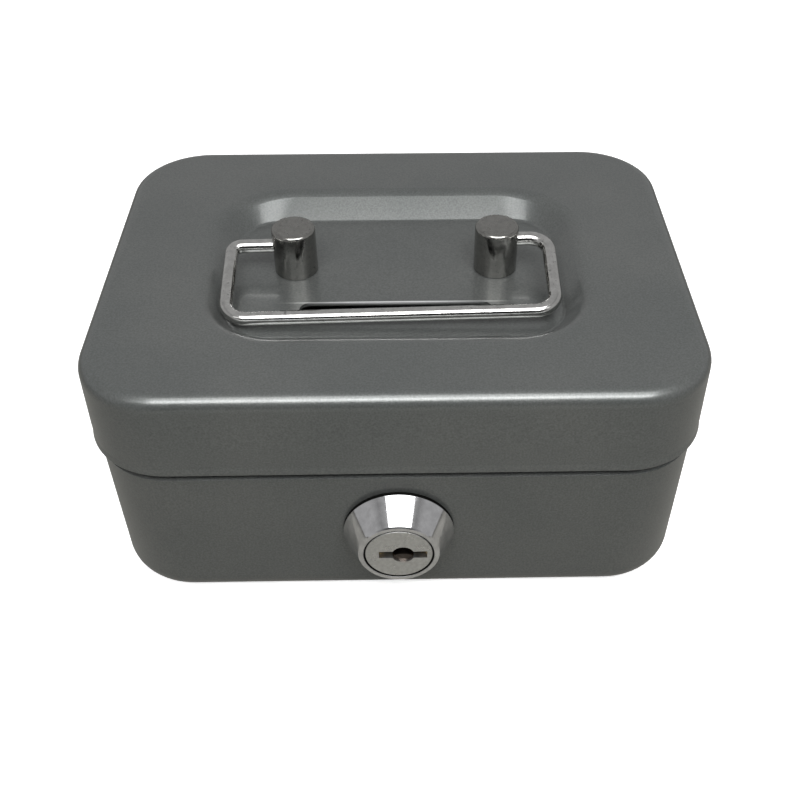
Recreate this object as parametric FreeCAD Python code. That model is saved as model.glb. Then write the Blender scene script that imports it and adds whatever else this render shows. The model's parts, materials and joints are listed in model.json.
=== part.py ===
"""Small lockable steel cash box: a drawn tub, a drawn lid with a sunk handle well and a coin slot,
two chromed posts that carry a wire bail, two stop hinges and a cam lock. Millimetres, +Z up.
The origin is the centre of the tub's underside, and the lock faces -Y. At rest the lid is shut,
the bail lies forward in its well and the lock is open, with its cam upright."""

import math
import os

import FreeCAD
import Part

V = FreeCAD.Vector
X_AXIS, Y_AXIS, Z_AXIS = V(1, 0, 0), V(0, 1, 0), V(0, 0, 1)
SIDES = (("left", -1), ("right", 1))

# ---- driving sizes --------------------------------------------------------------------------------
SHEET = 0.8            # thickness of the drawn steel
LID_X, LID_Y = 62.5, 47.25  # half sizes of the lid at the top of its skirt
LID_TOP = 57.0         # height of the lid's top face
LIP_Z = 37.8           # height of the lid's lower edge
LID_CORNER = 16.9      # corner radius of the lid in plan
LID_ROLL = 3.0         # radius between the lid's top and its skirt
SKIRT_FLARE = 0.5      # how far the skirt leans out from its top to its lip
LIP_FLARE = 0.25       # how far the lip turns out beyond that
LIP_RISE = 1.9         # height over which it does
TUB_INSET = 0.4        # the tub's wall lies this far inside the top of the skirt
TUB_ROLL = 4.7         # radius round the tub's underside
RIM_GAP = 0.7          # clearance between the tub's rim and the skirt
RIM_TOP = 48.0         # height of the tub's rim
JOGGLE_Z = (35.5, 36.0)  # where the tub's wall steps in to make the rim
HEM = 3.0              # depth of the folded hem inside the rim

WELL_X, WELL_Y = 40.5, 28.1    # half sizes of the handle well's mouth
WELL_CENTRE_Y = -1.1
WELL_CORNER = 17.0
WELL_FLOOR_X, WELL_FLOOR_Y = 35.6, 22.1  # half sizes of its floor
WELL_FLOOR_CORNER = 9.0
WELL_DEPTH = 4.5
WELL_ROLL = 4.2        # radius at the mouth
WELL_FILLET = 1.0      # radius at the floor

SLOT_HALF = 20.5       # coin slot, half its length
SLOT_WIDTH = 4.6
SLOT_BACK_Y = -11.0    # its far edge

POST_X, POST_Y = 22.0, 1.85
POST_R = 4.75
POST_HEIGHT = 10.7
PIVOT_UP = 6.65        # bail pivot above the well's floor, midway between the posts
PIVOT_HOLE_R = 1.8
PIVOT_HOLE_END = 20.5  # the blind hole stops here, measured from the lid's centre
WIRE_R = 1.5
BAIL_HALF = 34.35      # half the distance between the arms' centre lines
BAIL_SHIFT = -1.2      # the bail has slid to one side in its holes
BAIL_REACH = 21.15     # pivot to bar
BAIL_DROP = 10.9       # degrees that the arms fall towards the bar
BAIL_LEAN = 1.25       # degrees that the pivot rises from the left post to the right one
BAIL_FRONT_R = 4.5     # bend radii on the centre line
BAIL_BACK_R = {-1: 2.2, 1: 4.2}
LEG_END = 22.2         # inner end of each leg, from the bail's centre

LOCK_Z = 20.2
LOCK_FACE_Y = -53.9
CONE_BASE_R, CONE_FACE_R = 11.6, 8.4
CONE_EDGE = 1.1        # straight edge of the cone at the wall
THREAD_R, THREAD_DEPTH, THREAD_PITCH = 8.0, 0.45, 1.0
THREAD_FLAT = 7.2      # the barrel's two flats
HOUSING_END_Y = -35.5
PLUG_FACE_R, PLUG_FACE_DEPTH = 7.05, 1.8
PLUG_R = 6.3
PLUG_GAP = 0.06        # running clearance of the plug
PLUG_FACE_GAP = 0.15   # and round its face
PLUG_SHOULDER_Y = -35.3
KEYWAY_END_Y = -42.0
KEY_X, KEY_DROP = 0.85, 0.2  # the key's slot is off the plug's centre by this much
KEY_SLOT_HALF, KEY_SLOT_H = 5.0, 2.0
KEY_ROUND_R = 2.35     # round middle of the slot
GUIDE_CROWN_R = 4.0    # curve of the guide's upper face
GUIDE_CROWN_DROP = 0.4  # its highest point below the plug's centre
TAIL_HALF = 3.0
CAM_Y0, CAM_T = -35.2, 1.5
CAM_HUB_R, CAM_ARM_HALF, CAM_REACH = 5.2, 3.0, 14.0
WAFER_Y = (-50.4, -48.4, -46.4, -44.4)
WAFER_T, WAFER_HALF_H = 0.8, 3.5
NUT_ACROSS, NUT_T = 20.0, 3.5

HINGE_X = 33.0
HINGE_HALF = 12.0      # half the length of a hinge
KNUCKLE_HALF = 5.0     # half the length of the lid's middle knuckle
KNUCKLE_R, HINGE_PIN_R, HINGE_GAP = 1.9, 1.0, 0.05
KNUCKLE_PLAY = 0.2     # end play between knuckles
HINGE_Z = 38.6
LUG_REACH, LUG_HALF_T = 4.8, 0.4  # stop lug on the lid's knuckle
RIVET_R, RIVET_HEAD_R, RIVET_HEAD_T = 1.2, 2.2, 0.9
RIVET_X = 7.0          # rivets each side of a hinge's middle

# ---- sizes that follow from them ------------------------------------------------------------------
TUB_X, TUB_Y = LID_X - TUB_INSET, LID_Y - TUB_INSET
TUB_CORNER = LID_CORNER - TUB_INSET
RIM_INSET = SHEET + RIM_GAP  # rim's outer face, in from the skirt's outer face
WELL_FLOOR_Z = LID_TOP - WELL_DEPTH
PIVOT_Z = WELL_FLOOR_Z + PIVOT_UP
POST_TOP_Z = WELL_FLOOR_Z + POST_HEIGHT
TUB_FRONT_Y = -TUB_Y
SKIRT_DROP = LID_TOP - LIP_Z - LIP_RISE
SKIRT_LEAN = math.degrees(math.atan2(SKIRT_FLARE, SKIRT_DROP))
HINGE_Y = LID_Y + SKIRT_FLARE + LIP_FLARE + KNUCKLE_R
CATCH_X = (9.5, 15.5)  # the lid's catch hangs beside the lock


# ---- helpers --------------------------------------------------------------------------------------
def rounded_wire(half_x, half_y, radius, z, centre_y=0.0):
    """A rounded rectangle in a level plane."""
    edges = []
    corners = ((1, 1, 0), (-1, 1, 90), (-1, -1, 180), (1, -1, 270))
    centres = [(sx * (half_x - radius), centre_y + sy * (half_y - radius), a) for sx, sy, a in corners]

    def on_arc(cx, cy, degrees):
        a = math.radians(degrees)
        return V(cx + radius * math.cos(a), cy + radius * math.sin(a), z)

    for i, (cx, cy, a) in enumerate(centres):
        start, middle, end = (on_arc(cx, cy, a + d) for d in (0, 45, 90))
        edges.append(Part.Arc(start, middle, end).toShape())
        nx, ny, na = centres[(i + 1) % 4]
        edges.append(Part.makeLine(end, on_arc(nx, ny, na)))
    return Part.Wire(edges)


def rounded_loft(*sections):
    """A solid through rounded rectangles, each (half_x, half_y, radius, z) and perhaps centre_y."""
    return Part.makeLoft([rounded_wire(*s) for s in sections], True, True)


def inset(half_x, half_y, radius, by):
    return half_x - by, half_y - by, radius - by


def level_edges(shape, z, tolerance=1e-3):
    """The edges that lie in a level plane."""
    return [e for e in shape.Edges
            if abs(e.BoundBox.ZMin - z) < tolerance and abs(e.BoundBox.ZMax - z) < tolerance]


def box(x, y, z):
    """A box from three (low, high) pairs."""
    return Part.makeBox(x[1] - x[0], y[1] - y[0], z[1] - z[0], V(x[0], y[0], z[0]))


def rod(radius, start, direction, length):
    return Part.makeCylinder(radius, length, start, direction)


def lock_turned(profile):
    """A solid turned about the lock's axis, from (radius, y) points."""
    points = [V(r, y, LOCK_Z) for r, y in profile]
    face = Part.Face(Part.makePolygon(points + points[:1]))
    return face.revolve(V(0, 0, LOCK_Z), Y_AXIS, 360)


def extrude_yz(points, x0, x1):
    """A polygon of (y, z) points, drawn out along X."""
    polygon = Part.makePolygon([V(x0, y, z) for y, z in points + points[:1]])
    return Part.Face(polygon).extrude(V(x1 - x0, 0, 0))


def extrude_xz(wire_points, y0, y1):
    """A polygon of (x, z) points, drawn out along Y."""
    polygon = Part.makePolygon([V(x, y0, z) for x, z in wire_points + wire_points[:1]])
    return Part.Face(polygon).extrude(V(0, y1 - y0, 0))


def rivet(x, z, middle_y, wall, lean):
    """A rivet through a stack of plates, centred in it and leaning with it by this many degrees."""
    head_y = middle_y - wall / 2
    shank = rod(RIVET_R, V(x, head_y, z), Y_AXIS, wall)
    heads = []
    for y, out in ((head_y, -1), (head_y + wall, 1)):
        head = rod(RIVET_HEAD_R, V(x, y, z), V(0, out, 0), RIVET_HEAD_T)
        rim = [e for e in head.Edges if abs(e.BoundBox.YMin - (y + out * RIVET_HEAD_T)) < 1e-3
               and abs(e.BoundBox.YMax - (y + out * RIVET_HEAD_T)) < 1e-3]
        heads.append(head.makeFillet(RIVET_HEAD_T * 0.7, rim))
    whole = shank.fuse(heads).removeSplitter()
    whole.rotate(V(x, middle_y, z), X_AXIS, lean)
    return whole


def rivet_holes(xs, z, y0, y1):
    return Part.makeCompound([rod(RIVET_R + HINGE_GAP, V(x, y0, z), Y_AXIS, y1 - y0) for x in xs])


def rivet_places():
    return [side * HINGE_X + d for _, side in SIDES for d in (-RIVET_X, RIVET_X)]


# ---- tub ------------------------------------------------------------------------------------------
TUB_RIVET_Z = 29.0


def tub_shell():
    lower, rim = (TUB_X, TUB_Y, TUB_CORNER), inset(LID_X, LID_Y, LID_CORNER, RIM_INSET)
    low_z, high_z = JOGGLE_Z
    outer = rounded_loft((*lower, 0), (*lower, low_z), (*rim, high_z), (*rim, RIM_TOP))
    outer = outer.makeFillet(TUB_ROLL, level_edges(outer, 0))
    low_in, rim_in, hem_in = inset(*lower, SHEET), inset(*rim, SHEET), inset(*rim, 2 * SHEET)
    hem_z = RIM_TOP - HEM
    hollow = rounded_loft((*low_in, SHEET), (*low_in, low_z), (*rim_in, high_z), (*rim_in, hem_z))
    hollow = hollow.makeFillet(TUB_ROLL - SHEET, level_edges(hollow, SHEET))
    mouth = rounded_loft((*hem_in, hem_z - 1), (*hem_in, RIM_TOP + 1))
    shell = outer.cut(hollow.fuse(mouth))
    shell = shell.makeFillet(SHEET * 0.85, level_edges(shell, RIM_TOP))
    barrel_hole = rod(THREAD_R + 0.2, V(0, TUB_FRONT_Y - 1, LOCK_Z), Y_AXIS, SHEET + 2)
    half = THREAD_FLAT + 0.2
    flats = box((-half, half), (TUB_FRONT_Y - 1, TUB_FRONT_Y + 3), (0, 2 * LOCK_Z))
    holes = rivet_holes(rivet_places(), TUB_RIVET_Z, TUB_Y - 3, TUB_Y + 1)
    return shell.cut([barrel_hole.common(flats), holes])


# ---- lid ------------------------------------------------------------------------------------------
LID_RIVET_Z = 50.5
NOTCH_TOP_Z = HINGE_Z + KNUCKLE_R + 0.3


def lid_skin(by, top_roll):
    """The lid's outside, or its inside face when by is the sheet's thickness, as a solid."""
    top = inset(LID_X, LID_Y, LID_CORNER, by - SKIRT_FLARE * by / SKIRT_DROP)
    low = inset(LID_X, LID_Y, LID_CORNER, by - SKIRT_FLARE)
    lip = inset(LID_X, LID_Y, LID_CORNER, by - SKIRT_FLARE - LIP_FLARE)
    solid = rounded_loft((*lip, LIP_Z), (*low, LIP_Z + LIP_RISE), (*top, LID_TOP - by))
    return solid.makeFillet(top_roll, level_edges(solid, LID_TOP - by))


def skirt_y(z):
    """The outer face of the skirt's straight part at a height, measured from the lid's centre."""
    return LID_Y + SKIRT_FLARE * (LID_TOP - z) / SKIRT_DROP


def well_skin(by, roll, fillet):
    """The handle well as a solid to cut away, grown by the sheet's thickness for the lid's inside."""
    slope = math.atan2(WELL_DEPTH, WELL_Y - WELL_FLOOR_Y)
    grow = by * math.tan(slope / 2)
    mouth_z, floor_z = LID_TOP - by, WELL_FLOOR_Z - by
    mouth = (*inset(WELL_X, WELL_Y, WELL_CORNER, -grow), mouth_z, WELL_CENTRE_Y)
    floor = (*inset(WELL_FLOOR_X, WELL_FLOOR_Y, WELL_FLOOR_CORNER, -grow), floor_z, WELL_CENTRE_Y)
    pocket = rounded_loft(floor, mouth)
    pocket = pocket.makeFillet(fillet, level_edges(pocket, floor_z))
    return pocket, roll, mouth_z


def sunk(solid, well):
    """The solid with the well cut into its top and the well's mouth rolled over."""
    pocket, roll, mouth_z = well
    half_x, half_y = WELL_X + 1.5, WELL_Y + 1.5
    cut = solid.cut(pocket)
    rim = [e for e in level_edges(cut, mouth_z)
           if abs(e.BoundBox.Center.x) < half_x and abs(e.BoundBox.Center.y - WELL_CENTRE_Y) < half_y]
    return cut.makeFillet(roll, rim)


def coin_slot_cutter():
    end_r = SLOT_WIDTH / 2
    y = SLOT_BACK_Y - end_r
    z = (WELL_FLOOR_Z - 3, WELL_FLOOR_Z + 1)
    straight = box((end_r - SLOT_HALF, SLOT_HALF - end_r), (y - end_r, y + end_r), z)
    ends = [rod(end_r, V(s * (SLOT_HALF - end_r), y, z[0]), Z_AXIS, z[1] - z[0]) for _, s in SIDES]
    return straight.fuse(ends)


def lid_shell():
    outside = sunk(lid_skin(0, LID_ROLL), well_skin(0, WELL_ROLL, WELL_FILLET))
    well_inside = well_skin(SHEET, WELL_ROLL - SHEET, WELL_FILLET + SHEET)
    inside = sunk(lid_skin(SHEET, LID_ROLL - SHEET), well_inside)
    shell = outside.cut(inside)
    lip_edges = level_edges(shell, LIP_Z)
    shell = shell.makeFillet(SHEET * 0.45, lip_edges)
    notches = [box((s * HINGE_X - HINGE_HALF - 0.5, s * HINGE_X + HINGE_HALF + 0.5), (LID_Y - 2, LID_Y + 2),
                   (LIP_Z - 1, NOTCH_TOP_Z)) for _, s in SIDES]
    screw_holes = [rod(SCREW_R + 0.15, V(s * POST_X, POST_Y, WELL_FLOOR_Z - 2), Z_AXIS, 4)
                   for _, s in SIDES]
    rivets = rivet_holes(rivet_places(), LID_RIVET_Z, LID_Y - 3, LID_Y + 1)
    return shell.cut([*notches, *screw_holes, rivets, coin_slot_cutter()])


CATCH_FLANGE_Z = (49.2, 53.4)
CATCH_STRAP_Y = -38.0
CATCH_TAB_TOP_Z = LOCK_Z - CAM_ARM_HALF - 0.4
CATCH_TAB_END_Y = -33.0


def lid_catch():
    """A bent strip welded inside the lid's front. Its foot lies under the cam when the lock is shut."""
    wall_y = SHEET - LID_Y
    web_z = CATCH_FLANGE_Z[0]
    tab_z = CATCH_TAB_TOP_Z - SHEET
    outline = [
        (wall_y, CATCH_FLANGE_Z[1]), (wall_y, web_z), (CATCH_STRAP_Y, web_z), (CATCH_STRAP_Y, tab_z),
        (CATCH_TAB_END_Y, tab_z), (CATCH_TAB_END_Y, tab_z + SHEET), (CATCH_STRAP_Y + SHEET, tab_z + SHEET),
        (CATCH_STRAP_Y + SHEET, web_z + SHEET), (wall_y + SHEET, web_z + SHEET),
        (wall_y + SHEET, CATCH_FLANGE_Z[1]),
    ]
    strip = extrude_yz(outline, *CATCH_X)
    bends = [e for e in strip.Edges if e.BoundBox.XLength > 1 and is_bend(e, web_z, tab_z)]
    return strip.makeFillet(SHEET * 0.6, bends)


def is_bend(edge, web_z, tab_z):
    """True for the outside edges of the catch's bends."""
    y, z = edge.BoundBox.Center.y, edge.BoundBox.Center.z
    corners = ((SHEET - LID_Y, web_z), (CATCH_STRAP_Y + SHEET, web_z + SHEET), (CATCH_STRAP_Y, tab_z))
    return any(abs(y - cy) < 1e-3 and abs(z - cz) < 1e-3 for cy, cz in corners)


# ---- handle ---------------------------------------------------------------------------------------
SCREW_R, SCREW_HEAD_R, SCREW_HEAD_T, SCREW_REACH = 2.0, 3.6, 2.4, 4.0
WASHER_R, WASHER_T = 4.5, 0.8
PIVOT_AXIS = V(math.cos(math.radians(BAIL_LEAN)), 0, math.sin(math.radians(BAIL_LEAN)))


def pivot_point(along):
    """A point on the bail's pivot axis, this far from the box's middle."""
    return V(0, POST_Y, PIVOT_Z) + PIVOT_AXIS * along


def handle_post(side):
    x = side * POST_X
    post = rod(POST_R, V(x, POST_Y, WELL_FLOOR_Z), Z_AXIS, POST_HEIGHT)
    post = post.makeChamfer(0.45, level_edges(post, POST_TOP_Z))
    depth = POST_X + POST_R + 1 - PIVOT_HOLE_END
    hole = rod(PIVOT_HOLE_R, pivot_point(side * PIVOT_HOLE_END), PIVOT_AXIS * side, depth)
    tapping = rod(SCREW_R + 0.05, V(x, POST_Y, WELL_FLOOR_Z - 1), Z_AXIS, SCREW_REACH + 1.3)
    return post.cut([hole, tapping])


def post_washer(side):
    z = WELL_FLOOR_Z - SHEET - WASHER_T
    disc = rod(WASHER_R, V(side * POST_X, POST_Y, z), Z_AXIS, WASHER_T)
    return disc.cut(rod(SCREW_R + 0.15, V(side * POST_X, POST_Y, z - 1), Z_AXIS, WASHER_T + 2))


def post_screw(side):
    """A pan-head screw with a cross recess, up through the lid into a post."""
    x, head_top = side * POST_X, WELL_FLOOR_Z - SHEET - WASHER_T
    head = rod(SCREW_HEAD_R, V(x, POST_Y, head_top - SCREW_HEAD_T), Z_AXIS, SCREW_HEAD_T)
    head = head.makeFillet(1.3, level_edges(head, head_top - SCREW_HEAD_T))
    shank = rod(SCREW_R, V(x, POST_Y, head_top), Z_AXIS, WELL_FLOOR_Z + SCREW_REACH - head_top)
    arms = ((2.0, 0.45), (0.45, 2.0))
    z = (head_top - SCREW_HEAD_T - 1, head_top - SCREW_HEAD_T + 1.3)
    cross = [box((x - a, x + a), (POST_Y - b, POST_Y + b), z) for a, b in arms]
    return head.fuse(shank).cut(cross)


def bail_handle():
    """A bent wire: leg, arm, bar, arm and leg, drawn flat, swept and then laid down in the well."""
    bar_y = -BAIL_REACH

    def corner(x, y, radius, dx, dy):
        """Tangent points and middle of a bend at (x, y), from a run along dx to a run along dy."""
        cx, cy = x + dx * radius, y + dy * radius
        k = radius * math.sqrt(0.5)
        return V(x + dx * radius, y, 0), V(cx - dx * k, cy - dy * k, 0), V(x, y + dy * radius, 0)

    rear_l, mid_l, arm_l = corner(-BAIL_HALF, 0, BAIL_BACK_R[-1], 1, -1)
    bar_l, mid_bl, front_l = corner(-BAIL_HALF, bar_y, BAIL_FRONT_R, 1, 1)
    bar_r, mid_br, front_r = corner(BAIL_HALF, bar_y, BAIL_FRONT_R, -1, 1)
    rear_r, mid_r, arm_r = corner(BAIL_HALF, 0, BAIL_BACK_R[1], -1, -1)
    start, end = V(-LEG_END, 0, 0), V(LEG_END, 0, 0)
    path = Part.Wire([
        Part.makeLine(start, rear_l),
        Part.Arc(rear_l, mid_l, arm_l).toShape(),
        Part.makeLine(arm_l, front_l),
        Part.Arc(front_l, mid_bl, bar_l).toShape(),
        Part.makeLine(bar_l, bar_r),
        Part.Arc(bar_r, mid_br, front_r).toShape(),
        Part.makeLine(front_r, arm_r),
        Part.Arc(arm_r, mid_r, rear_r).toShape(),
        Part.makeLine(rear_r, end),
    ])
    section = Part.Wire(Part.makeCircle(WIRE_R, start, X_AXIS))
    wire = path.makePipeShell([section], True, True)
    ends = [e for e in wire.Edges
            if abs(abs(e.BoundBox.Center.x) - LEG_END) < 1e-3 and e.BoundBox.XLength < 1e-3]
    wire = wire.makeChamfer(0.3, ends)
    wire.rotate(V(0, 0, 0), X_AXIS, BAIL_DROP)
    wire.rotate(V(0, 0, 0), Y_AXIS, -BAIL_LEAN)
    wire.translate(pivot_point(BAIL_SHIFT))
    return wire


# ---- hinges ---------------------------------------------------------------------------------------
def knuckle(x0, x1):
    ring = rod(KNUCKLE_R, V(x0, HINGE_Y, HINGE_Z), X_AXIS, x1 - x0)
    return ring, rod(HINGE_PIN_R + HINGE_GAP, V(x0 - 1, HINGE_Y, HINGE_Z), X_AXIS, x1 - x0 + 2)


def leaf_corners(leaf, z, radius):
    """Rounds the two free corners of a hinge leaf."""
    edges = [e for e in leaf.Edges if e.BoundBox.YLength > 0.5 and e.BoundBox.XLength < 1e-3
             and e.BoundBox.ZLength < 1e-3 and abs(e.BoundBox.Center.z - z) < 1e-3]
    return leaf.makeFillet(radius, edges)


def lid_hinge_leaf(side):
    """The leaf on the lid: a plate, one middle knuckle and the lug that stops the lid."""
    x = side * HINGE_X
    top_z = LID_RIVET_Z + 3.0
    low_y, top_y, barrel_y = skirt_y(NOTCH_TOP_Z), skirt_y(top_z), HINGE_Y - KNUCKLE_R
    leaf = [(low_y, NOTCH_TOP_Z), (low_y + SHEET, NOTCH_TOP_Z), (top_y + SHEET, top_z), (top_y, top_z)]
    plate = leaf_corners(extrude_yz(leaf, x - HINGE_HALF, x + HINGE_HALF), top_z, 2.0)
    ring, bore = knuckle(x - KNUCKLE_HALF, x + KNUCKLE_HALF)
    neck = [(low_y, NOTCH_TOP_Z), (low_y + SHEET, NOTCH_TOP_Z),
            (barrel_y + SHEET, HINGE_Z), (barrel_y, HINGE_Z)]
    web = extrude_yz(neck, x - KNUCKLE_HALF, x + KNUCKLE_HALF)
    lug = box((x - KNUCKLE_HALF + 1, x + KNUCKLE_HALF - 1), (HINGE_Y, HINGE_Y + LUG_REACH),
              (HINGE_Z - LUG_HALF_T, HINGE_Z + LUG_HALF_T))
    leaf = plate.fuse([web, ring, lug]).cut(bore).removeSplitter()
    return leaf.cut(rivet_holes((x - RIVET_X, x + RIVET_X), LID_RIVET_Z, LID_Y - 1, LID_Y + 2))


def tub_hinge_leaf(side):
    """The leaf on the tub: a plate and the two outer knuckles, each on a cranked web."""
    x = side * HINGE_X
    bottom_z, top_z = TUB_RIVET_Z - 4.5, HINGE_Z - 2.6
    leaf = box((x - HINGE_HALF, x + HINGE_HALF), (TUB_Y, TUB_Y + SHEET), (bottom_z, top_z))
    leaf = leaf_corners(leaf, bottom_z, 2.0)
    crank = [(TUB_Y, top_z), (TUB_Y, top_z - 1.0), (TUB_Y + SHEET, top_z - 1.0),
             (HINGE_Y - 0.5, HINGE_Z - 1.7), (HINGE_Y, HINGE_Z), (HINGE_Y - KNUCKLE_R, HINGE_Z)]
    bores = []
    inner = KNUCKLE_HALF + KNUCKLE_PLAY
    for x0, x1 in ((x - HINGE_HALF, x - inner), (x + inner, x + HINGE_HALF)):
        ring, bore = knuckle(x0, x1)
        leaf = leaf.fuse([ring, extrude_yz(crank, x0, x1)])
        bores.append(bore)
    leaf = leaf.cut(bores).removeSplitter()
    return leaf.cut(rivet_holes((x - RIVET_X, x + RIVET_X), TUB_RIVET_Z, TUB_Y - 1, TUB_Y + 2))


def hinge_pin(side):
    """A pin with a small head past each outer knuckle."""
    x, over = side * HINGE_X, 0.6
    pin = rod(HINGE_PIN_R, V(x - HINGE_HALF - over, HINGE_Y, HINGE_Z), X_AXIS, 2 * (HINGE_HALF + over))
    heads = [rod(HINGE_PIN_R + 0.4, V(x + s * HINGE_HALF, HINGE_Y, HINGE_Z), V(s, 0, 0), over)
             for s in (-1, 1)]
    return pin.fuse(heads).removeSplitter()


def hinge_rivets(z, middle_y, lean):
    wall = 2 * SHEET * math.cos(math.radians(lean))
    return Part.makeCompound([rivet(x, z, middle_y, wall, lean) for x in rivet_places()])


# ---- lock -----------------------------------------------------------------------------------------
def lock_housing():
    """One casting: the conical head that stands on the wall, and a threaded barrel with two flats."""
    bore_r, seat_r = PLUG_R + PLUG_GAP, PLUG_FACE_R + PLUG_FACE_GAP
    seat_y = LOCK_FACE_Y + PLUG_FACE_DEPTH + 0.15
    edge = 0.25
    profile = [
        (seat_r + 0.15, LOCK_FACE_Y), (CONE_FACE_R - edge, LOCK_FACE_Y), (CONE_FACE_R, LOCK_FACE_Y + edge),
        (CONE_BASE_R, TUB_FRONT_Y - CONE_EDGE), (CONE_BASE_R, TUB_FRONT_Y - edge),
        (CONE_BASE_R - edge, TUB_FRONT_Y), (THREAD_R, TUB_FRONT_Y),
    ]
    y = TUB_FRONT_Y + SHEET
    while y + THREAD_PITCH < HOUSING_END_Y:
        profile += [(THREAD_R, y), (THREAD_R - THREAD_DEPTH, y + THREAD_PITCH / 2)]
        y += THREAD_PITCH
    profile += [(THREAD_R, y), (THREAD_R - THREAD_DEPTH, HOUSING_END_Y), (bore_r, HOUSING_END_Y)]
    profile += [(bore_r, seat_y), (seat_r, seat_y), (seat_r, LOCK_FACE_Y + 0.15)]
    turned = lock_turned(profile)
    for side in (-1, 1):
        x = sorted((side * THREAD_FLAT, side * (THREAD_R + 1)))
        turned = turned.cut(box(x, (TUB_FRONT_Y, HOUSING_END_Y + 1), (LOCK_Z - 12, LOCK_Z + 12)))
    return turned


def keyway(y0, y1):
    """The key's slot with its round middle."""
    half_h = KEY_SLOT_H / 2
    z = LOCK_Z - KEY_DROP
    slot = box((KEY_X - KEY_SLOT_HALF, KEY_X + KEY_SLOT_HALF), (y0, y1), (z - half_h, z + half_h))
    return slot.fuse(rod(KEY_ROUND_R, V(KEY_X, y0, z), Y_AXIS, y1 - y0))


SPRING_X = (-1.8, 2.0)
SPRING_Z = LOCK_Z + 4.4
SPRING_R, SPRING_WIRE_R = 0.5, 0.13
SPRING_TURNS = 5
LUG_X = (-2.6, -1.8)
CAM_SCREW_R, CAM_SCREW_DEPTH = 1.5, 4.4


def wafer_slot(y):
    half = WAFER_T / 2 + 0.05
    slot = box((-PLUG_R - 1, PLUG_R + 1), (y - half, y + half),
               (LOCK_Z - WAFER_HALF_H - 0.05, LOCK_Z + WAFER_HALF_H + 0.05))
    pocket = box((LUG_X[0] - 0.05, SPRING_X[1] + 0.05), (y - 0.7, y + 0.7),
                 (LOCK_Z + WAFER_HALF_H, SPRING_Z + 0.7))
    return slot.fuse(pocket)


def lock_plug():
    face_y = LOCK_FACE_Y + 0.1
    turned = lock_turned([
        (0, face_y), (PLUG_FACE_R - 0.2, face_y), (PLUG_FACE_R, face_y + 0.2),
        (PLUG_FACE_R, LOCK_FACE_Y + PLUG_FACE_DEPTH), (PLUG_R, LOCK_FACE_Y + PLUG_FACE_DEPTH),
        (PLUG_R, PLUG_SHOULDER_Y), (0, PLUG_SHOULDER_Y),
    ])
    tail_end = CAM_Y0 + CAM_T - 0.2
    tail = box((-TAIL_HALF, TAIL_HALF), (PLUG_SHOULDER_Y - 0.5, tail_end),
               (LOCK_Z - TAIL_HALF, LOCK_Z + TAIL_HALF))
    tapping = rod(CAM_SCREW_R + 0.05, V(0, tail_end + 1, LOCK_Z), V(0, -1, 0), CAM_SCREW_DEPTH + 1.2)
    cuts = [keyway(face_y - 1, KEYWAY_END_Y), tapping]
    cuts += [wafer_slot(y) for y in WAFER_Y]
    return turned.fuse(tail).cut(cuts)


def lock_key_guide():
    """The crowned insert that fills the bottom of the slot's round middle, so that the key needs a hump."""
    start = LOCK_FACE_Y + 0.55
    length = KEYWAY_END_Y - start
    body = rod(KEY_ROUND_R - 0.03, V(KEY_X, start, LOCK_Z - KEY_DROP), Y_AXIS, length)
    crown_z = LOCK_Z - GUIDE_CROWN_DROP - GUIDE_CROWN_R
    return body.common(rod(GUIDE_CROWN_R, V(KEY_X, start, crown_z), Y_AXIS, length))


def lock_wafer(index):
    """A plate that slides across the plug, with a window for the key and a lug for its spring."""
    y = WAFER_Y[index]
    reach = PLUG_R - 0.1
    low, high = y - WAFER_T / 2, y + WAFER_T / 2
    plate = box((-reach, reach), (low, high), (LOCK_Z - WAFER_HALF_H, LOCK_Z + WAFER_HALF_H))
    plate = plate.common(rod(reach, V(0, low, LOCK_Z), Y_AXIS, WAFER_T))
    lug = box(LUG_X, (low, high), (LOCK_Z + WAFER_HALF_H - 0.5, SPRING_Z + 0.5))
    window_half = 4.3 - 0.15 * index
    z = LOCK_Z - KEY_DROP
    window = box((KEY_X - window_half, KEY_X + window_half), (low - 1, high + 1), (z - 1.2, z + 1.2))
    middle = rod(KEY_ROUND_R + 0.1, V(KEY_X, low - 1, z), Y_AXIS, WAFER_T + 2)
    return plate.fuse(lug).cut([window, middle])


def wafer_spring(index):
    """A small coil spring between a wafer's lug and the end of its pocket."""
    y = WAFER_Y[index]
    length = SPRING_X[1] - SPRING_X[0] - 2 * SPRING_WIRE_R - 0.04
    helix = Part.makeHelix(length / SPRING_TURNS, length, SPRING_R)
    section = Part.Wire(Part.makeCircle(SPRING_WIRE_R, V(SPRING_R, 0, 0), Y_AXIS))
    coil = Part.Wire(helix).makePipeShell([section], True, True)
    coil.rotate(V(0, 0, 0), Y_AXIS, 90)
    coil.translate(V(SPRING_X[0] + SPRING_WIRE_R + 0.02, y, SPRING_Z))
    return coil


def lock_cam():
    """The cam: a hub with a square hole and one arm, upright when the lock is open."""
    hub = rod(CAM_HUB_R, V(0, CAM_Y0, LOCK_Z), Y_AXIS, CAM_T)
    arm_end = LOCK_Z + CAM_REACH - CAM_ARM_HALF
    arm = box((-CAM_ARM_HALF, CAM_ARM_HALF), (CAM_Y0, CAM_Y0 + CAM_T), (LOCK_Z, arm_end))
    tip = rod(CAM_ARM_HALF, V(0, CAM_Y0, arm_end), Y_AXIS, CAM_T)
    half = TAIL_HALF + 0.05
    square = box((-half, half), (CAM_Y0 - 1, CAM_Y0 + CAM_T + 1), (LOCK_Z - half, LOCK_Z + half))
    return hub.fuse([arm, tip]).cut(square).removeSplitter()


def cam_washer():
    y = CAM_Y0 + CAM_T
    return lock_turned([(1.7, y), (4.6, y), (4.6, y + 0.6), (1.7, y + 0.6)])


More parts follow.
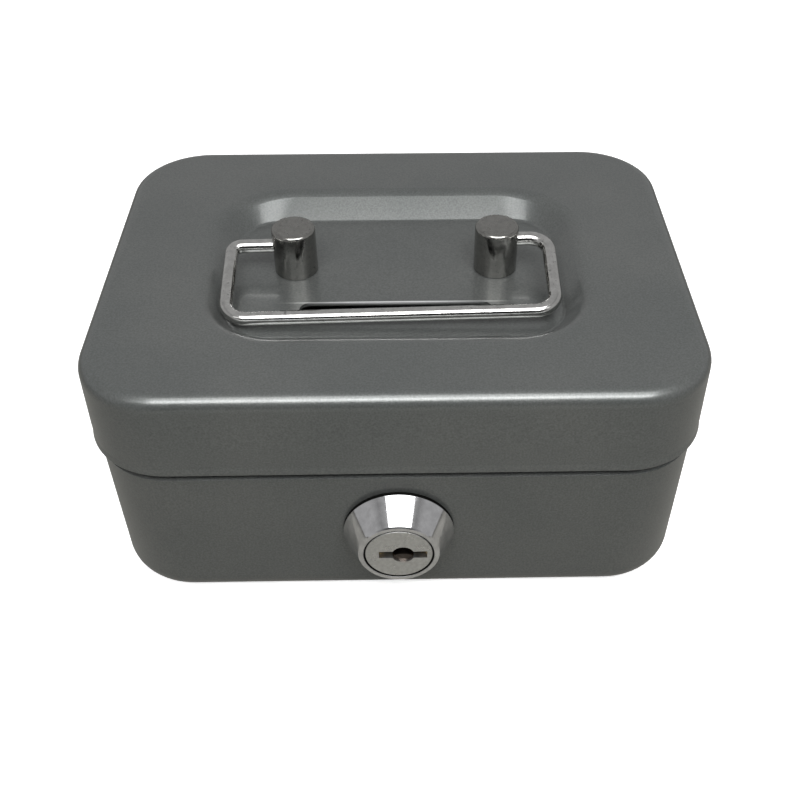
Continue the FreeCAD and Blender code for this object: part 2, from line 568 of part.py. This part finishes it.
def cam_screw():
    """A pan-head screw with a cross recess that clamps the cam to the plug."""
    y = CAM_Y0 + CAM_T + 0.6
    head = rod(2.9, V(0, y, LOCK_Z), Y_AXIS, 2.0)
    rim = [e for e in head.Edges if e.BoundBox.YMin > y + 1.9]
    head = head.makeFillet(1.0, rim)
    shank = rod(CAM_SCREW_R, V(0, y - CAM_SCREW_DEPTH, LOCK_Z), Y_AXIS, CAM_SCREW_DEPTH)
    arms = ((1.6, 0.35), (0.35, 1.6))
    cross = [box((-a, a), (y + 0.9, y + 3), (LOCK_Z - b, LOCK_Z + b)) for a, b in arms]
    return head.fuse(shank).cut(cross)


def lock_washer():
    """A toothed washer between the tub's front wall and the nut."""
    y = TUB_FRONT_Y + SHEET
    ring = lock_turned([(THREAD_R + 0.15, y), (10.6, y), (10.6, y + 0.7), (THREAD_R + 0.15, y + 0.7)])
    teeth = 12
    notches = []
    for i in range(teeth):
        notch = box((9.6, 11.5), (y - 1, y + 2), (LOCK_Z - 0.8, LOCK_Z + 0.8))
        notch.rotate(V(0, 0, LOCK_Z), Y_AXIS, 360 * i / teeth)
        notches.append(notch)
    return ring.cut(notches)


def lock_nut():
    y = TUB_FRONT_Y + SHEET + 0.7
    corner_r = NUT_ACROSS / 2 / math.cos(math.pi / 6)
    turns = [math.radians(60 * i) for i in range(6)]
    points = [(corner_r * math.cos(a), LOCK_Z + corner_r * math.sin(a)) for a in turns]
    hexagon = extrude_xz(points, y, y + NUT_T)
    end = y + NUT_T
    crown = lock_turned([(0, y), (corner_r, y), (corner_r, end - 1.0), (corner_r - 1.7, end), (0, end)])
    return hexagon.common(crown).cut(rod(THREAD_R + 0.05, V(0, y - 1, LOCK_Z), Y_AXIS, NUT_T + 2))


# ---- build ----------------------------------------------------------------------------------------
def nodes():
    """Each node's name and its shape."""
    yield "tub_shell", tub_shell()
    yield "lid_shell", lid_shell()
    yield "lid_catch", lid_catch()
    for name, side in SIDES:
        yield f"handle_post_{name}", handle_post(side)
        yield f"post_washer_{name}", post_washer(side)
        yield f"post_screw_{name}", post_screw(side)
        yield f"lid_hinge_leaf_{name}", lid_hinge_leaf(side)
        yield f"tub_hinge_leaf_{name}", tub_hinge_leaf(side)
        yield f"hinge_pin_{name}", hinge_pin(side)
    yield "bail_handle", bail_handle()
    yield "lid_hinge_rivets", hinge_rivets(LID_RIVET_Z, skirt_y(LID_RIVET_Z), SKIRT_LEAN)
    yield "tub_hinge_rivets", hinge_rivets(TUB_RIVET_Z, TUB_Y, 0)
    yield "lock_housing", lock_housing()
    yield "lock_washer", lock_washer()
    yield "lock_nut", lock_nut()
    yield "lock_plug", lock_plug()
    yield "lock_key_guide", lock_key_guide()
    for i in range(len(WAFER_Y)):
        yield f"lock_wafer_{i + 1}", lock_wafer(i)
        yield f"wafer_spring_{i + 1}", wafer_spring(i)
    yield "lock_cam", lock_cam()
    yield "cam_washer", cam_washer()
    yield "cam_screw", cam_screw()


os.makedirs("parts", exist_ok=True)
for node, shape in nodes():
    shape.exportStep(os.path.join("parts", node + ".step"))
    print(f"{node:24s} {len(shape.Solids)} solid(s), {shape.Volume:9.1f} mm3, valid {shape.isValid()}")
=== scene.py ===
"""The looks of a small grey steel cash box: enamel on its sheet metal, plating on its handle and lock.
The bail and its two posts are drawn again in finer mesh, and every other piece keeps its CAD shape.
Metres, with +Z up and the lock facing -Y."""
import json
import math

import bmesh
import bpy
from mathutils import Matrix, Vector


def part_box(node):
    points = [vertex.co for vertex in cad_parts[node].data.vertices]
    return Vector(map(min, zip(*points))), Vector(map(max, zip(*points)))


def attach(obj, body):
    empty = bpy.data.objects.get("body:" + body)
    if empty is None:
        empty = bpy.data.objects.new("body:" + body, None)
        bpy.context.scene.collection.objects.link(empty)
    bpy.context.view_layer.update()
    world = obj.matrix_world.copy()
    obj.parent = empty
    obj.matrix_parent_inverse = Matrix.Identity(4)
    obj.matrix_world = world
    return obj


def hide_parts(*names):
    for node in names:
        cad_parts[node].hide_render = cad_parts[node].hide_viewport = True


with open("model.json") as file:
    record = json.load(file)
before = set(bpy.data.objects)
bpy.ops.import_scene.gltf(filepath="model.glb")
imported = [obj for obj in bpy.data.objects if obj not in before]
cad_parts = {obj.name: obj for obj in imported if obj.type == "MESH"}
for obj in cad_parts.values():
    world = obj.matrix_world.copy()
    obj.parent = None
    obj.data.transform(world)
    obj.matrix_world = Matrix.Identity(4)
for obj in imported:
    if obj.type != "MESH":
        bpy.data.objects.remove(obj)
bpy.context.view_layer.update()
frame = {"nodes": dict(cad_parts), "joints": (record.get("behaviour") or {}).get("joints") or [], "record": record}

MM = 0.001


def joint_place(name):
    """The point that the frame gives for a joint."""
    return Vector(next(joint["pos_m"] for joint in frame["joints"] if joint["name"] == name))


# ---- camera -------------------------------------------------------------------------------------
CAMERA_AT = (0.00154, -0.18803, 0.18267)
CAMERA_YAW = 0.0203      # radians to the right of straight on
CAMERA_DOWN = 0.7727     # radians below the horizon
CAMERA_ROLL = 0.0016
CAMERA_LENS = 45.83
CAMERA_SHIFT = (-0.0248, 0.0551)
CAMERA_SENSOR = 36.0
CAMERA_CLIP = (0.01, 20.0)


def add_camera():
    data = bpy.data.cameras.new("camera")
    data.lens = CAMERA_LENS
    data.sensor_width = CAMERA_SENSOR
    data.shift_x, data.shift_y = CAMERA_SHIFT
    data.clip_start, data.clip_end = CAMERA_CLIP
    camera = bpy.data.objects.new("camera", data)
    bpy.context.scene.collection.objects.link(camera)
    forward = Vector((
        math.sin(CAMERA_YAW) * math.cos(CAMERA_DOWN),
        math.cos(CAMERA_YAW) * math.cos(CAMERA_DOWN),
        -math.sin(CAMERA_DOWN),
    ))
    right = forward.cross(Vector((0, 0, 1))).normalized()
    up = right.cross(forward)
    c, s = math.cos(CAMERA_ROLL), math.sin(CAMERA_ROLL)
    x, y = right * c + up * s, up * c - right * s
    turn = Matrix((x, y, -forward)).transposed().to_4x4()
    camera.matrix_world = Matrix.Translation(CAMERA_AT) @ turn
    bpy.context.scene.camera = camera


# ---- node helpers -------------------------------------------------------------------------------
def new_material(name):
    """A new material, with its node tree and its Principled shader."""
    material = bpy.data.materials.new(name)
    material.use_nodes = True
    tree = material.node_tree
    return material, tree, tree.nodes["Principled BSDF"]


def connect(tree, value, socket):
    """Link another node's output to a socket, or set the socket to a constant."""
    if isinstance(value, bpy.types.NodeSocket):
        tree.links.new(value, socket)
    else:
        socket.default_value = value


def add_node(tree, kind, inputs=None, **settings):
    node = tree.nodes.new(kind)
    for key, value in settings.items():
        setattr(node, key, value)
    for key, value in (inputs or {}).items():
        connect(tree, value, node.inputs[key])
    return node


def maths(tree, operation, *values):
    return add_node(tree, "ShaderNodeMath", dict(enumerate(values)), operation=operation).outputs[0]


def vector_maths(tree, operation, *values):
    return add_node(tree, "ShaderNodeVectorMath", dict(enumerate(values)), operation=operation).outputs


def split(tree, vector):
    """The X, Y and Z of a vector."""
    return add_node(tree, "ShaderNodeSeparateXYZ", {0: vector}).outputs


def seen_by_camera(tree):
    return add_node(tree, "ShaderNodeLightPath").outputs["Is Camera Ray"]


def object_position(tree):
    """Position in the object's own frame, so that a pattern moves with its piece."""
    return add_node(tree, "ShaderNodeTexCoord").outputs["Object"]


def noise(tree, scale, detail, stretch=None):
    position = object_position(tree)
    if stretch:
        inputs = {"Vector": position, "Scale": stretch}
        position = add_node(tree, "ShaderNodeMapping", inputs).outputs["Vector"]
    inputs = {"Vector": position, "Scale": scale, "Detail": detail}
    return add_node(tree, "ShaderNodeTexNoise", inputs).outputs["Fac"]


def ramp(tree, value, low, high, out_low=0.0, out_high=1.0):
    """out_low up to low and out_high from high on, with a straight line between them."""
    inputs = {"Value": value, "From Min": low, "From Max": high, "To Min": out_low, "To Max": out_high}
    return add_node(tree, "ShaderNodeMapRange", inputs).outputs["Result"]


def mix_colour(tree, fac, a, b):
    node = add_node(tree, "ShaderNodeMix", data_type="RGBA")
    for value, index in ((fac, 0), (a, 6), (b, 7)):  # the Mix node's sockets for its factor and colours
        connect(tree, value, node.inputs[index])
    return node.outputs[2]


def bump(tree, height, distance, strength, normal=None):
    inputs = {"Height": height, "Distance": distance, "Strength": strength}
    if normal is not None:
        inputs["Normal"] = normal
    return add_node(tree, "ShaderNodeBump", inputs).outputs["Normal"]


def round_mark(tree, centre, half_size):
    """1 at a place on the object and 0 beyond an ellipsoid round it."""
    offset = vector_maths(tree, "SUBTRACT", object_position(tree), centre)[0]
    scaled = vector_maths(tree, "DIVIDE", offset, half_size)[0]
    away = vector_maths(tree, "LENGTH", scaled)["Value"]
    return ramp(tree, away, 0.35, 1.0, 1.0, 0.0)


# ---- enamel -------------------------------------------------------------------------------------
ENAMEL_DARK = (0.104, 0.1105, 0.108, 1)
ENAMEL_LIGHT = (0.116, 0.1215, 0.118, 1)
ENAMEL_METALLIC = 0.5
ENAMEL_ROUGHNESS = (0.31, 0.355)
COAT_WEIGHT, COAT_ROUGHNESS = 0.5, 0.12
GRAIN_SHADES = (0.82, 1.14)  # the grain's darkest and lightest, as a factor on the colour
CLOUDS, GRAIN, DULLNESS = 45.0, 2600.0, 160.0  # noise scales
PEEL, PEEL_DEPTH = 750.0, 0.02 * MM
FINE, FINE_DEPTH = 3200.0, 0.006 * MM
SMUDGE_AT, SMUDGE_HALF = (0.0392, -0.047, 0.0195), (0.011, 0.02, 0.008)  # a thumb mark on the tub's front
SMUDGE_GRAIN, SMUDGE_ROUGHNESS = 420.0, 0.12
SLOT_HIGHLIGHT_AT = (0, -0.01095, 0.0525)  # the coin slot's far edge, where a bright line is painted as a highlight
SLOT_HIGHLIGHT_HALF = (0.026, 0.0004, 0.0006)
# near-white colour of the painted highlight on the coin slot's far edge
SLOT_HIGHLIGHT_COLOUR = (0.75, 0.76, 0.76, 1)


def enamel_colour(tree, slot_highlight):
    cloud = ramp(tree, noise(tree, CLOUDS, 3.0), 0.35, 0.65)
    colour = mix_colour(tree, cloud, ENAMEL_DARK, ENAMEL_LIGHT)
    grain = ramp(tree, noise(tree, GRAIN, 2.0), 0.3, 0.7, *GRAIN_SHADES)
    inputs = {0: colour, "Scale": grain}
    grained = add_node(tree, "ShaderNodeVectorMath", inputs, operation="SCALE").outputs[0]
    if not slot_highlight:
        return grained
    # painted highlight along the coin slot's far edge
    return mix_colour(tree, round_mark(tree, SLOT_HIGHLIGHT_AT, SLOT_HIGHLIGHT_HALF), grained, SLOT_HIGHLIGHT_COLOUR)


def enamel_roughness(tree):
    rough = ramp(tree, noise(tree, DULLNESS, 4.0), 0.3, 0.7, *ENAMEL_ROUGHNESS)
    streaks = ramp(tree, noise(tree, SMUDGE_GRAIN, 4.0), 0.4, 0.6)
    smudge = maths(tree, "MULTIPLY", round_mark(tree, SMUDGE_AT, SMUDGE_HALF), streaks)
    return maths(tree, "ADD", maths(tree, "MULTIPLY", smudge, SMUDGE_ROUGHNESS), rough)


def enamel(name, slot_highlight=False):
    """Satin grey enamel with a little metal in it, on drawn steel."""
    material, tree, shader = new_material(name)
    shader.inputs["Metallic"].default_value = ENAMEL_METALLIC
    shader.inputs["Coat Weight"].default_value = COAT_WEIGHT
    shader.inputs["Coat Roughness"].default_value = COAT_ROUGHNESS
    tree.links.new(enamel_colour(tree, slot_highlight), shader.inputs["Base Color"])
    tree.links.new(enamel_roughness(tree), shader.inputs["Roughness"])
    peel = bump(tree, noise(tree, PEEL, 2.0), PEEL_DEPTH, 0.35)
    fine = bump(tree, noise(tree, FINE, 2.0), FINE_DEPTH, 0.4, peel)
    tree.links.new(fine, shader.inputs["Normal"])
    tree.links.new(peel, shader.inputs["Coat Normal"])
    return material


# ---- metal --------------------------------------------------------------------------------------
MOTTLE_SHADE = 0.84  # the mottle's darker patches, as a factor on the colour
PIT_COLOUR = (0.05, 0.048, 0.045, 1)
WORN_EDGE_R = 0.25 * MM
# near-black painted shade for the gap round the lock's plug and for the casting's edge at the wall
LOCK_SHADE_COLOUR = (0.012, 0.012, 0.011, 1)
LOCK_SHADE_ROUGHNESS = 0.5
LOCK_Z = joint_place("lock_turn").z
WALL_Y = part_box("tub_shell")[0][1]  # the tub's front
PLUG_GAP_R = 7.13 * MM              # the gap round the plug's face
# off the gap's radius, where the painted shade in the gap is still full and where it has faded out
PLUG_GAP_SOLID, PLUG_GAP_FADE = 0.13 * MM, 0.3 * MM
SHADE_BAND = (1.15 * MM, 1.0 * MM)   # in front of the wall, where the painted shade on the casting's edge starts and is full


def lock_painted_shade(tree):
    """Painted shade and painted dark reflection: 1 in the gap round the plug's face and on the edge of the casting
    at the wall.
    """
    place = split(tree, object_position(tree))
    up = maths(tree, "SUBTRACT", place["Z"], LOCK_Z)
    flat = add_node(tree, "ShaderNodeCombineXYZ", {0: place["X"], 2: up}).outputs[0]
    radius = vector_maths(tree, "LENGTH", flat)["Value"]
    off_gap = maths(tree, "ABSOLUTE", maths(tree, "SUBTRACT", radius, PLUG_GAP_R))
    in_gap = ramp(tree, off_gap, PLUG_GAP_SOLID, PLUG_GAP_FADE, 1.0, 0.0)
    at_wall = ramp(tree, place["Y"], WALL_Y - SHADE_BAND[0], WALL_Y - SHADE_BAND[1])
    return maths(tree, "MAXIMUM", in_gap, at_wall)


def edge_wear(tree):
    """Where the surface turns sharply: 1 on its edges and 0 on its flats."""
    rounded = add_node(tree, "ShaderNodeBevel", {"Radius": WORN_EDGE_R}, samples=4).outputs["Normal"]
    normal = add_node(tree, "ShaderNodeNewGeometry").outputs["Normal"]
    return ramp(tree, vector_maths(tree, "DOT_PRODUCT", rounded, normal)["Value"], 0.985, 0.9)


def facing_up(tree):
    """1 on a level top and 0 on a side."""
    normal = add_node(tree, "ShaderNodeTexCoord").outputs["Normal"]
    return ramp(tree, split(tree, normal)["Z"], 0.97, 0.995)


def metal(name, colour, roughness, spread, grain=900.0, bump_mm=0.002,
          pits=0.0, dull_edge=0.0, dull_top=0.0, lock_shade=False):
    """Plated or bare metal: a mottle in colour, roughness and height, fine scuffs, perhaps pits, perhaps painted
    shade round the lock.
    """
    material, tree, shader = new_material(name)
    shader.inputs["Metallic"].default_value = 1.0
    mottle = noise(tree, grain, 4.0)
    darker = tuple(c * MOTTLE_SHADE for c in colour) + (1,)
    shade = mix_colour(tree, ramp(tree, mottle, 0.35, 0.65), darker, colour + (1,))
    rough = ramp(tree, noise(tree, grain * 0.35, 5.0), 0.3, 0.7, roughness, roughness + spread)
    height = bump(tree, mottle, bump_mm * MM, 0.3)
    scuff = noise(tree, grain * 0.5, 3.0, stretch=(1.0, 0.12, 1.0))
    height = bump(tree, scuff, bump_mm * MM, 0.25, height)
    if pits:
        pit = ramp(tree, noise(tree, grain * 1.6, 2.0), 0.28, 0.36, 1.0, 0.0)
        shade = mix_colour(tree, maths(tree, "MULTIPLY", pit, pits), shade, PIT_COLOUR)
        height = bump(tree, pit, -4 * bump_mm * MM, 0.4, height)
    if dull_edge:
        rough = maths(tree, "ADD", rough, maths(tree, "MULTIPLY", edge_wear(tree), dull_edge))
    if dull_top:
        rough = maths(tree, "ADD", rough, maths(tree, "MULTIPLY", facing_up(tree), dull_top))
    if lock_shade:
        # painted shade in the plug's gap and along the casting's edge at the wall
        shade_mask = lock_painted_shade(tree)
        shade = mix_colour(tree, shade_mask, shade, LOCK_SHADE_COLOUR)
        rough = maths(tree, "ADD", rough, maths(tree, "MULTIPLY", shade_mask, LOCK_SHADE_ROUGHNESS))
    tree.links.new(shade, shader.inputs["Base Color"])
    tree.links.new(rough, shader.inputs["Roughness"])
    tree.links.new(height, shader.inputs["Normal"])
    return material


# ---- stage --------------------------------------------------------------------------------------
FLOOR_SIZE, FLOOR_Z = 6.0, -0.1 * MM
FLOOR_WHITE = (0.95, 0.95, 0.95, 1)      # as the camera sees it
FLOOR_BOUNCE = (0.27, 0.265, 0.245, 1)   # as the box is lit by it
FLOOR_GLOW = (0.5, 1.0)                  # near the box and far off, to even the floor out
FLOOR_GLOW_NEAR, FLOOR_GLOW_FAR = 0.4, 1.3
ROOM_FRONT, ROOM_BACK = 0.03, 0.42       # the world's strength before the box, and behind it and overhead
ROOM_TO_BACK, ROOM_TO_SIDE, ROOM_TO_TOP = (-0.3, 0.6), (0.35, 0.8), (0.55, 0.85)


def add_floor():
    bpy.ops.mesh.primitive_plane_add(size=FLOOR_SIZE, location=(0, 0, FLOOR_Z))
    floor = bpy.context.object
    floor.name = "floor"
    material, tree, shader = new_material("floor_white")
    seen = seen_by_camera(tree)
    tree.links.new(mix_colour(tree, seen, FLOOR_BOUNCE, FLOOR_WHITE), shader.inputs["Base Color"])
    shader.inputs["Roughness"].default_value = 0.9
    shader.inputs["Specular IOR Level"].default_value = 0.0
    shader.inputs["Emission Color"].default_value = (1, 1, 1, 1)
    away = vector_maths(tree, "LENGTH", object_position(tree))["Value"]
    glow = ramp(tree, away, FLOOR_GLOW_NEAR, FLOOR_GLOW_FAR, *FLOOR_GLOW)
    tree.links.new(maths(tree, "MULTIPLY", glow, seen), shader.inputs["Emission Strength"])
    floor.data.materials.append(material)


def add_area_light(name, at, aim, size, power):
    data = bpy.data.lights.new(name, "AREA")
    data.shape = "RECTANGLE"
    data.size, data.size_y = size
    data.energy = power
    light = bpy.data.objects.new(name, data)
    bpy.context.scene.collection.objects.link(light)
    light.location = at
    direction = Vector(aim) - Vector(at)
    light.rotation_euler = direction.to_track_quat("-Z", "Y").to_euler()


def add_world():
    """A pale room that is dark low down in front of the box, and shows as a plain white backdrop."""
    world = bpy.data.worlds.new("studio")
    bpy.context.scene.world = world
    world.use_nodes = True
    tree = world.node_tree
    direction = add_node(tree, "ShaderNodeTexCoord").outputs["Generated"]
    x, y, z = split(tree, direction)
    back = ramp(tree, y, *ROOM_TO_BACK)
    sides = ramp(tree, maths(tree, "ABSOLUTE", x), *ROOM_TO_SIDE)
    above = ramp(tree, z, *ROOM_TO_TOP)
    most = maths(tree, "MAXIMUM", maths(tree, "MAXIMUM", sides, above), back)
    room = ramp(tree, most, 0.0, 1.0, ROOM_FRONT, ROOM_BACK)
    inputs = {0: seen_by_camera(tree), 2: room, 3: 1.0}
    strength = add_node(tree, "ShaderNodeMix", inputs, data_type="FLOAT").outputs[0]
    background = tree.nodes["Background"]
    background.inputs["Color"].default_value = (1, 1, 1, 1)
    tree.links.new(strength, background.inputs["Strength"])


def add_studio():
    add_world()
    front, middle = (0.02, -0.03, 0.04), (0.02, -0.05, 0.04)
    add_area_light("key_light", at=(0.04, -0.43, 0.55), aim=front, size=(0.62, 0.2), power=2.8)
    add_area_light("wide_light", at=(0.03, -0.47, 0.64), aim=front, size=(1.5, 0.2), power=1.0)
    add_area_light("top_light", at=(0.03, -0.2, 0.42), aim=middle, size=(0.42, 0.22), power=1.35)
    bpy.context.scene.view_settings.view_transform = "Standard"


# ---- meshes -------------------------------------------------------------------------------------
POST_STEPS, DRILL_STEPS, WIRE_STEPS = 96, 48, 40  # points round each
RIM_STEPS, BEND_STEPS = 10, 16
SHARP_ANGLE = math.radians(35)
ALONG_X, ALONG_Y, ALONG_Z = Vector((1, 0, 0)), Vector((0, 1, 0)), Vector((0, 0, 1))


def ring_round(centre, across, up, radius, steps):
    turns = (2 * math.pi * i / steps for i in range(steps))
    return [centre + (across * math.cos(a) + up * math.sin(a)) * radius for a in turns]


def skin_rings(rings, name):
    """A closed mesh through rings of points, with a fan over each end."""
    mesh = bmesh.new()
    loops = [[mesh.verts.new(p) for p in ring] for ring in rings]
    for a, b in zip(loops, loops[1:]):
        for i in range(len(a)):
            j = (i + 1) % len(a)
            mesh.faces.new((a[i], a[j], b[j], b[i]))
    for loop in (loops[0], loops[-1]):
        middle = mesh.verts.new(sum((v.co for v in loop), Vector()) / len(loop))
        for i in range(len(loop)):
            mesh.faces.new((loop[i], loop[(i + 1) % len(loop)], middle))
    bmesh.ops.recalc_face_normals(mesh, faces=mesh.faces)
    data = bpy.data.meshes.new(name)
    mesh.to_mesh(data)
    mesh.free()
    return data


def bored(data, start, along, radius, length):
    """The mesh with a round hole cut into it."""
    across = ALONG_Y
    up = along.cross(across).normalized()
    ends = [ring_round(start + along * d, across, up, radius, DRILL_STEPS) for d in (0, length)]
    drill = bpy.data.objects.new("drill", skin_rings(ends, "drill"))
    blank = bpy.data.objects.new("blank", data)
    for thing in (drill, blank):
        bpy.context.scene.collection.objects.link(thing)
    cut = blank.modifiers.new("bore", "BOOLEAN")
    cut.operation, cut.solver, cut.object = "DIFFERENCE", "EXACT", drill
    bpy.context.view_layer.update()
    cut_blank = blank.evaluated_get(bpy.context.evaluated_depsgraph_get())
    result = bpy.data.meshes.new_from_object(cut_blank)
    for thing in (drill, blank):
        bpy.data.objects.remove(thing)
    return result


def smooth(data):
    data.polygons.foreach_set("use_smooth", [True] * len(data.polygons))
    data.set_sharp_from_angle(angle=SHARP_ANGLE)


def add_piece(name, data, body, material, node):
    """A piece that rides on a body and stands for a CAD node."""
    smooth(data)
    piece = bpy.data.objects.new(name, data)
    bpy.context.scene.collection.objects.link(piece)
    data.materials.clear()
    data.materials.append(material)
    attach(piece, body)
    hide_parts(node)


# ---- handle -------------------------------------------------------------------------------------
POST_RIM, POST_FOOT = 0.75 * MM, 0.15 * MM  # rounding of a post's top, and bevel at its foot
PIVOT_HOLE_R, PIVOT_HOLE_END = 1.8 * MM, 20.5 * MM
WIRE_R, WIRE_END_BEVEL = 1.5 * MM, 0.3 * MM
BAIL_HALF, BAIL_SHIFT, BAIL_REACH = 34.35 * MM, -1.2 * MM, 21.15 * MM
BAIL_DROP, BAIL_LEAN = math.radians(10.9), math.radians(1.25)
BAIL_FRONT_R, BAIL_BACK_LEFT_R, BAIL_BACK_RIGHT_R = 4.5 * MM, 2.2 * MM, 4.2 * MM
LEG_END = 22.2 * MM

PIVOT = joint_place("bail_pivot")
PIVOT_AXIS = Vector((math.cos(BAIL_LEAN), 0, math.sin(BAIL_LEAN)))


def add_post(side, name, material):
    """A turned post with a rounded rim, bored for the bail's leg."""
    node = f"handle_post_{name}"
    low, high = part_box(node)
    radius = (high[0] - low[0]) / 2
    height = high[2] - low[2]
    foot = Vector(((low[0] + high[0]) / 2, (low[1] + high[1]) / 2, low[2]))
    profile = [(radius - POST_FOOT, 0), (radius, POST_FOOT)]
    for i in range(RIM_STEPS + 1):
        a = math.pi / 2 * i / RIM_STEPS
        profile.append((radius - POST_RIM * (1 - math.cos(a)), height - POST_RIM * (1 - math.sin(a))))
    rings = [ring_round(foot + ALONG_Z * h, ALONG_X, ALONG_Y, r, POST_STEPS) for r, h in profile]
    outward = PIVOT_AXIS * side
    hole_start = PIVOT + outward * PIVOT_HOLE_END
    hole_length = foot.x * side + 2 * radius - PIVOT_HOLE_END
    data = bored(skin_rings(rings, f"post_{name}"), hole_start, outward, PIVOT_HOLE_R, hole_length)
    add_piece(f"post_{name}", data, "lid", material, node)


def bend(corner_x, corner_y, radius, into, out):
    """A quarter turn of the wire at a corner, as places and directions of travel."""
    centre = Vector((corner_x, corner_y)) + (out - into) * radius
    steps = []
    for i in range(BEND_STEPS + 1):
        a = math.pi / 2 * i / BEND_STEPS
        offset = (-out * math.cos(a) + into * math.sin(a)) * radius
        steps.append((centre + offset, into * math.cos(a) + out * math.sin(a)))
    return steps


def bail_path():
    """The wire's centre line in its own plane, as (across, outward) places and directions of travel."""
    left, right, forth, back = Vector((-1, 0)), Vector((1, 0)), Vector((0, 1)), Vector((0, -1))
    path = [(Vector((-LEG_END, 0)), left)]
    path += bend(-BAIL_HALF, 0, BAIL_BACK_LEFT_R, left, forth)
    path += bend(-BAIL_HALF, BAIL_REACH, BAIL_FRONT_R, forth, right)
    path += bend(BAIL_HALF, BAIL_REACH, BAIL_FRONT_R, right, back)
    path += bend(BAIL_HALF, 0, BAIL_BACK_RIGHT_R, back, left)
    return path + [(Vector((LEG_END, 0)), left)]


def add_bail(material):
    """The bent wire, as a round tube along its centre line with bevelled ends."""
    across = PIVOT_AXIS
    outward = Vector((
        math.sin(BAIL_DROP) * math.sin(BAIL_LEAN),
        -math.cos(BAIL_DROP),
        -math.sin(BAIL_DROP) * math.cos(BAIL_LEAN),
    ))
    normal = across.cross(outward)
    origin = PIVOT + across * BAIL_SHIFT

    def wire_ring(step, radius=WIRE_R, inset=0.0):
        place, travel = step
        forward = across * travel.x + outward * travel.y
        centre = origin + across * place.x + outward * place.y + forward * inset
        return ring_round(centre, normal, forward.cross(normal), radius, WIRE_STEPS)

    path = bail_path()
    start, end = path[0], path[-1]
    rings = [wire_ring(start, WIRE_R - WIRE_END_BEVEL), wire_ring(start, inset=WIRE_END_BEVEL)]
    rings += [wire_ring(step) for step in path[1:-1]]
    rings += [wire_ring(end, inset=-WIRE_END_BEVEL), wire_ring(end, WIRE_R - WIRE_END_BEVEL)]
    add_piece("bail", skin_rings(rings, "bail"), "bail", material, "bail_handle")


# ---- build --------------------------------------------------------------------------------------
def slot_materials():
    """A material for each of the record's material slots."""
    return {
        "paint": enamel("grey_enamel"),
        "chrome": metal("post_chrome", colour=(0.34, 0.335, 0.32), roughness=0.1, spread=0.12,
                        grain=1100.0, bump_mm=0.005, pits=0.6, dull_top=0.12),
        "wire": metal("wire_chrome", colour=(0.66, 0.655, 0.64), roughness=0.08, spread=0.1,
                      grain=700.0, bump_mm=0.003, pits=0.35),
        "casting": metal("bezel_chrome", colour=(0.74, 0.74, 0.75), roughness=0.06, spread=0.06,
                         grain=600.0, bump_mm=0.003, lock_shade=True),
        "plug": metal("plug_satin", colour=(0.66, 0.66, 0.65), roughness=0.25, spread=0.12,
                      grain=1300.0, bump_mm=0.003, dull_edge=0.1, lock_shade=True),
        "zinc": metal("zinc_plate", colour=(0.55, 0.56, 0.58), roughness=0.3, spread=0.15, dull_edge=0.1),
        "brass": metal("wafer_brass", colour=(0.7, 0.5, 0.22), roughness=0.3, spread=0.15, dull_edge=0.1),
    }


def paint_cad_nodes(by_slot):
    by_node = {
        # the key guide's near-black colour is painted shade of the keyway it sits recessed in
        "lock_key_guide": metal("guide_painted_shade", colour=(0.09, 0.075, 0.065), roughness=0.25, spread=0.15),
        "lid_shell": enamel("grey_enamel_lid", slot_highlight=True),
    }
    for subpart in frame["record"]["subparts"]:
        name = subpart["node"]
        node = frame["nodes"][name]
        node.data.materials.clear()
        node.data.materials.append(by_node.get(name) or by_slot[subpart["material_slot"]])


add_camera()
add_floor()
add_studio()
materials = slot_materials()
paint_cad_nodes(materials)
add_bail(materials["wire"])
add_post(-1, "left", materials["chrome"])
add_post(1, "right", materials["chrome"])
